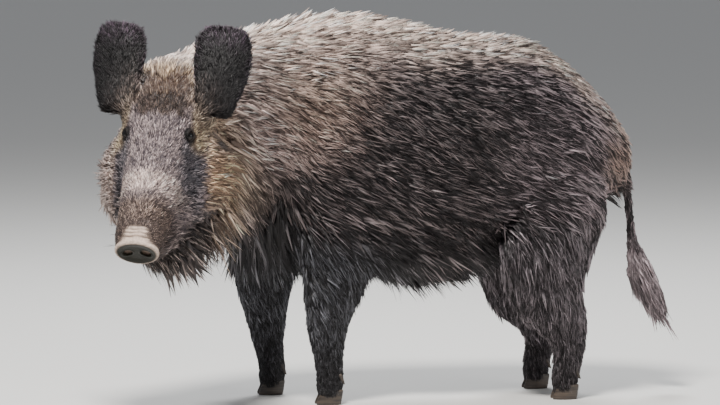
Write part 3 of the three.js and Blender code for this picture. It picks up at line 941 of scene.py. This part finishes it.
def blades(roots, middles, tips, normal, half):
    """Each tuft is a bent, pointed solid: a root, two sides where it bends, and a tip."""
    line = tips - roots
    across = unit(np.cross(line, normal))
    above = unit(np.cross(across, line))
    bend = ((middles - roots) * above).sum(1)
    middles = middles + above * np.maximum(0.3 * half - bend, 0)[:, None]
    w = across * half[:, None]
    corners = np.stack([roots, middles + w, middles - w, tips], 1)
    order = np.array([[0, 1, 2], [3, 2, 1], [0, 3, 1], [0, 2, 3]])
    faces = (order[None] + 4 * np.arange(len(roots))[:, None, None]).reshape(-1, 3)
    return corners.reshape(-1, 3), faces


def clear_of_eyes(tufts):
    """Lifts the tufts with the orbits' rims, and drops those that would lie over the balls."""
    for key in ("root", "middle", "tip"):
        h = to_head(tufts[key])
        near = eye_distance(h) < 60
        tufts[key][near] = from_head(swell(h[near]))
    keep = np.ones(len(tufts["tip"]), bool)
    for side in (1, -1):
        centre, gaze, along, across = eye_frame(side)
        for key in ("middle", "tip"):
            d = to_head(tufts[key]) - centre
            slit = ((d @ along) / 12.2) ** 2 + ((d @ across - 0.6) / 7.8) ** 2
            keep &= (slit > 1) | (d @ gaze < 0) | (d @ gaze > 40)
    return {key: value[keep] for key, value in tufts.items()}


def bristles():
    """Lashes on the upper lids, and sparse whiskers on the muzzle and the chin."""
    root, tip, half = [], [], []
    for side in (1, -1):
        centre, gaze, along, across = eye_frame(side)
        for u in np.linspace(-9.5, 8.5, 22):
            v = 6.0 * (1 - (u / 10.6) ** 2) + 0.9
            start = centre + u * along + v * across + math.sqrt(13.7 ** 2 - u * u - v * v) * gaze
            long = rng.uniform(7, 10)
            aim = unit(0.75 * gaze + 0.75 * across + along * (u / 22 - 0.25) + 0.12 * rng.normal(size=3))
            root.append(start)
            tip.append(start + long * aim)
            half.append(0.33 * MM)
        for _ in range(30):
            a, up = rng.uniform(300, 428), rng.uniform(-112, -58)
            start = from_head([[a, side * 44.0, up]])
            long = rng.uniform(18, 34)
            aim = unit(np.array([-0.35, 0.8 * side, -0.35]) + 0.25 * rng.normal(size=3))
            root.append(to_head(settle(start, -0.4 * MM))[0])
            tip.append(root[-1] + long * aim)
            half.append(0.204 * MM)
    root, tip = from_head(root), from_head(tip)
    normal = unit(SKIN.slope(root))
    bend = normal * (0.10 * np.linalg.norm(tip - root, axis=1))[:, None]
    return root, mix(root, tip, 0.45) + bend, tip, normal, np.array(half)


def coloured(tufts):
    """Colours of the four points of each tuft: dark at the root, pale at a guard hair's tip, with painted
    shade on the tufts that lie low in the coat.
    """
    tip, root, reach = markings(mix(tufts["middle"], tufts["tip"], 0.5))
    shade, guard = tufts["shade"], tufts["guard"]
    count = len(guard)
    even = 1 - 0.6 * REGION.at(tufts["root"])[:, 1]
    pale = np.exp(even * (0.42 * shade[:, 0] + 0.42 * rng.normal(size=count)))
    # painted shade and light: tufts that lie low in the coat are darker, those that stand high are lighter
    pale = pale * mix(0.68, 1.12, tufts["lift"])
    dull = 0.05 + 0.34 * reach
    tone = np.exp(even * (0.17 * shade[:, 1] + 0.16 * rng.normal(size=count)))[:, None]
    body = np.where(guard, 0.05 + 0.60 * reach, 0.4 * dull) * pale
    point = np.where(guard, 1.22, dull) * pale
    colours = np.empty((count, 4, 3))
    colours[:, 0] = root * 0.35
    colours[:, 1:3] = (mix(root, tip, np.clip(body, 0, 1)[:, None]) * tone)[:, None]
    colours[:, 3] = mix(root, tip, np.clip(point, 0, 1.7)[:, None]) * tone
    return colours


def half_widths(tufts):
    half = (0.34 * MM + 0.0075 * tufts["length"]) * rng.uniform(0.75, 1.25, len(tufts["guard"]))
    return half * np.where(tufts["guard"], 0.85, 1.1)


def piece_of(places):
    """Which piece of the coat each tuft belongs to."""
    on = dict(zip(REGIONS, REGION.at(places).T))
    x, y = (places + CENTRE).T[:2]
    flank = np.where(y < 0, "left", "right").astype(object)
    side = np.where(to_head(places)[:, 1] > 0, "left", "right").astype(object)
    name = np.where(x < 0.06, "shoulder_", np.where(x < 0.27, "flank_", "rump_")).astype(object) + flank
    name = np.where(on["neck"] > 0.5, "neck_" + flank, name)
    name = np.where(on["fore"] > 0.5, "foreleg_" + flank, name)
    name = np.where(on["hind"] > 0.5, "hindleg_" + flank, name)
    name = np.where(on["head"] > 0.5, "head_" + side, name)
    name = np.where(on["ear"] > 0.5, "ear_" + side, name)
    return np.where(on["tail"] > 0.5, "tail", name)


def unwrapped(places, name):
    """Where each root lies on the skin of its piece, rolled out flat round the piece's own axis."""
    if name.startswith("head"):
        h = to_head(places)
        along, around = h[:, 0], np.arctan2(h[:, 1], h[:, 2] + 95)
    elif name.startswith("ear"):
        h = to_head(places)
        along, across = ear_place(h)
        root, axis, wide = ear_frame(1 if name.endswith("left") else -1)
        around = np.arctan2(across, (h - root) @ np.cross(axis, wide))
    elif name.startswith(("fore", "hind", "tail")):
        along = places[:, 2]
        knots = np.linspace(along.min(), along.max(), 9)
        middle = [places[np.abs(along - knot).argsort()[:200], :2].mean(0) for knot in knots]
        x, y = (places[:, k] - np.interp(along, knots, np.array(middle)[:, k]) for k in (0, 1))
        around = np.arctan2(y, x)
    else:
        along = places[:, 0]
        around = np.arctan2(places[:, 1] + CENTRE[1], 0.5 - places[:, 2])
        around = np.where((around < -2.9) & name.endswith("right"), around + 2 * math.pi, around)
    flat = np.stack([around, along], -1)
    low, high = flat.min(0), flat.max(0)
    return 0.01 + 0.98 * (flat - low) / (high - low)


def lay_flat(mesh, places, name):
    """The bake's map: each tuft a small patch where its root lies."""
    at = (unwrapped(places, name)[:, None] + PATCH).reshape(-1, 2)
    corner = np.empty(len(mesh.loops), np.int32)
    mesh.loops.foreach_get("vertex_index", corner)
    mesh.uv_layers.new(name="OFBake").data.foreach_set("uv", at[corner].astype(np.float32).ravel())


def add_coat():
    tufts = clear_of_eyes(grow())
    colours = coloured(tufts)
    half = half_widths(tufts)
    coat = tinted("coat", 0.52, 0.35)[0]
    bristle = bristles()
    verts, faces = blades(*bristle)
    piece = add_mesh("lashes_and_whiskers", verts, faces, coat)
    paint(piece.data, np.tile(LASH, (len(verts), 1)))
    lay_flat(piece.data, bristle[0], "head")
    names = piece_of(tufts["root"])
    for name in sorted(set(names)):
        pick = names == name
        root, middle, tip, normal = (tufts[key][pick] for key in ("root", "middle", "tip", "normal"))
        verts, faces = blades(root, middle, tip, normal, half[pick])
        piece = add_mesh("coat_" + name, verts, faces, coat)
        paint(piece.data, colours[pick].reshape(-1, 3))
        lay_flat(piece.data, root, name)


# ---------------------------------------------------------------- the eyes and the hooves

def add_eyes():
    """Dark balls in the lids: a black pupil in a deep brown iris."""
    material = tinted("eye", 0.06, 0.35)[0]
    for side, word in ((1, "left"), (-1, "right")):
        centre, gaze, along, across = eye_frame(side)
        rows, columns = 40, 48
        polar = np.repeat(np.linspace(0, math.pi, rows + 1)[1:-1], columns)
        turn = np.tile(np.arange(columns) * 2 * math.pi / columns, rows - 1)
        local = np.stack([np.sin(polar) * np.cos(turn), np.sin(polar) * np.sin(turn), np.cos(polar)], -1)
        local = np.concatenate([local, [[0, 0, 1], [0, 0, -1]]])
        frame_of_eye = np.stack([along, across, gaze], 0)
        ball = from_head(centre + EYE_RADIUS * local @ frame_of_eye)
        faces = []
        for row in range(rows - 2):
            for column in range(columns):
                i, j = row * columns + column, row * columns + (column + 1) % columns
                faces += [(i, i + columns, j), (j, i + columns, j + columns)]
        first, last = len(local) - 2, len(local) - 1
        for column in range(columns):
            i, j = column, (column + 1) % columns
            faces += [(first, i, j), (last, (rows - 2) * columns + j, (rows - 2) * columns + i)]
        faces = np.array(faces)
        if np.linalg.det(frame_of_eye) < 0:
            faces = faces[:, ::-1]
        eye = add_mesh("eyeball_" + word, ball, faces, material)
        angle = np.degrees(np.arccos(np.clip(local[:, 2], -1, 1)))
        shade = mix(np.zeros(3) + 0.002, srgb(26, 17, 12), smooth(22, 30, angle)[:, None])
        paint(eye.data, mix(shade, srgb(12, 10, 9), smooth(42, 50, angle)[:, None]))
        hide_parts("eye_" + word)


def horn_material():
    """Dark horn, finely ringed along each claw."""
    material, nodes, links, shader = principled("horn", 0.42)
    place = nodes.new("ShaderNodeTexCoord")
    stretch = nodes.new("ShaderNodeMapping")
    stretch.inputs["Scale"].default_value = (18, 18, 210)
    rings = nodes.new("ShaderNodeTexNoise")
    rings.inputs["Scale"].default_value = 1.0
    rings.inputs["Detail"].default_value = 3.0
    ramp = nodes.new("ShaderNodeValToRGB")
    ramp.color_ramp.elements[0].position, ramp.color_ramp.elements[1].position = 0.3, 0.72
    ramp.color_ramp.elements[0].color = (*srgb(30, 26, 25), 1)
    ramp.color_ramp.elements[1].color = (*srgb(84, 72, 62), 1)
    links.new(place.outputs["Object"], stretch.inputs["Vector"])
    links.new(stretch.outputs["Vector"], rings.inputs["Vector"])
    links.new(rings.outputs["Fac"], ramp.inputs["Fac"])
    links.new(ramp.outputs["Color"], shader.inputs["Base Color"])
    add_bump(nodes, links, shader, rings.outputs["Fac"], 0.35, 0.8 * MM)
    return material


def add_hooves():
    """Each claw and dewclaw with its edges worn round, but its sole still flat on the floor."""
    material = horn_material()
    step, sole = 1.25 * MM, 1.6 * MM
    for node in HORN:
        points, triangles = mesh_of(node)
        low = np.floor(points.min(0) / step).astype(int) - 6
        shape = np.ceil(points.max(0) / step).astype(int) + 7 - low
        values = blurred(dense(level_set([(points, triangles)], step, 6, 6), low, tuple(shape)), 4)
        verts, faces = extract(values + 0.3 * MM, low * step, step)
        verts = verts.copy()
        if "hoof" in node:
            verts[verts[:, 2] < sole, 2] = 0
        piece = add_mesh(node.replace("hoof", "claw") + "_horn", verts, faces[:, ::-1], material)
        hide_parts(node)


# ---------------------------------------------------------------- camera, floor and lights

CAMERA = {"azimuth": -10.0, "elevation": 5.0, "distance": 8.0, "lens": 200.0}
LOOK_AT = np.array([0.0, 0.0, 0.393]) - CENTRE


def add_camera():
    a, e = math.radians(CAMERA["azimuth"]), math.radians(CAMERA["elevation"])
    back = Vector((math.sin(a) * math.cos(e), -math.cos(a) * math.cos(e), math.sin(e)))
    data = bpy.data.cameras.new("camera")
    data.lens, data.sensor_width = CAMERA["lens"], 36.0
    data.clip_end = 100.0
    camera = linked("camera", data)
    camera.location = Vector(LOOK_AT) + back * CAMERA["distance"]
    camera.rotation_euler = back.to_track_quat("Z", "Y").to_euler()
    bpy.context.scene.camera = camera


def add_floor():
    mesh = bpy.data.meshes.new("floor")
    corners = [(30.0 * x, 30.0 * y, 0) for x, y in ((-1, -1), (1, -1), (1, 1), (-1, 1))]
    mesh.from_pydata(corners, [], [(0, 1, 2, 3)])
    floor = linked("floor", mesh)
    material = bpy.data.materials.new("floor")
    material.use_nodes = True
    shader = material.node_tree.nodes["Principled BSDF"]
    shader.inputs["Base Color"].default_value = (0.62, 0.61, 0.59, 1)
    shader.inputs["Roughness"].default_value = 0.9
    mesh.materials.append(material)


def add_light(name, place, size, power, colour=(1, 1, 1)):
    data = bpy.data.lights.new(name, "AREA")
    data.shape, data.size = "DISK", size
    data.energy, data.color = power, colour
    light = linked(name, data)
    light.location = place
    light.rotation_euler = (Vector(place) - Vector((0, 0, 0.4))).to_track_quat("Z", "Y").to_euler()


def add_lights():
    world = bpy.data.worlds.new("studio")
    world.use_nodes = True
    world.node_tree.nodes["Background"].inputs[0].default_value = (0.80, 0.83, 0.88, 1)
    world.node_tree.nodes["Background"].inputs[1].default_value = 0.42
    bpy.context.scene.world = world
    add_light("key", (-0.9, -1.6, 3.9), 1.0, 300, (1, 0.975, 0.93))
    add_light("fill", (2.6, -3.2, 1.6), 2.0, 40)
    add_light("back", (0.4, 2.2, 3.6), 1.4, 170, (0.96, 0.98, 1))


add_skin()
add_eyes()
add_hooves()
add_coat()
add_camera()
add_floor()
add_lights()
